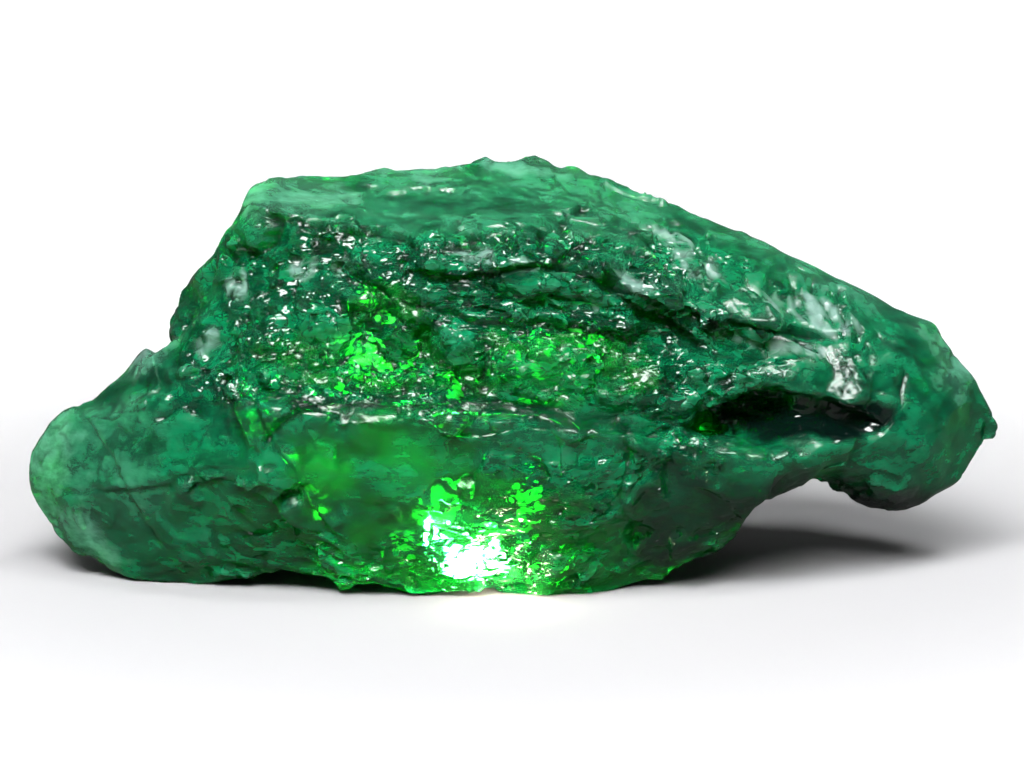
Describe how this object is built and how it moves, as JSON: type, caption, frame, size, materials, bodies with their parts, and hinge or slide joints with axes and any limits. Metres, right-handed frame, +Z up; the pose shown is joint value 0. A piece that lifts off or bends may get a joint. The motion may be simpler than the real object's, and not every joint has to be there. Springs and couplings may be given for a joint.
{
  "type": "raw emerald crystal",
  "caption": "Rough broken piece of translucent green beryl with hackly fracture faces, lying on its cleaved underside.",
  "frame": {"origin": "on the resting plane, under the middle of the crystal's bounding box", "axes": "+Z up, +X along the crystal's length towards its pointed end, -Y out of its broken front"},
  "size_m": [0.11, 0.0434, 0.0466],
  "materials": {
    "emerald_beryl": "translucent deep green beryl, glassy on fresh fracture, cloudy mint along its thin edges"
  },
  "bodies": {
    "root": {"emerald_crystal": "emerald_beryl"}
  },
  "joints": []
}
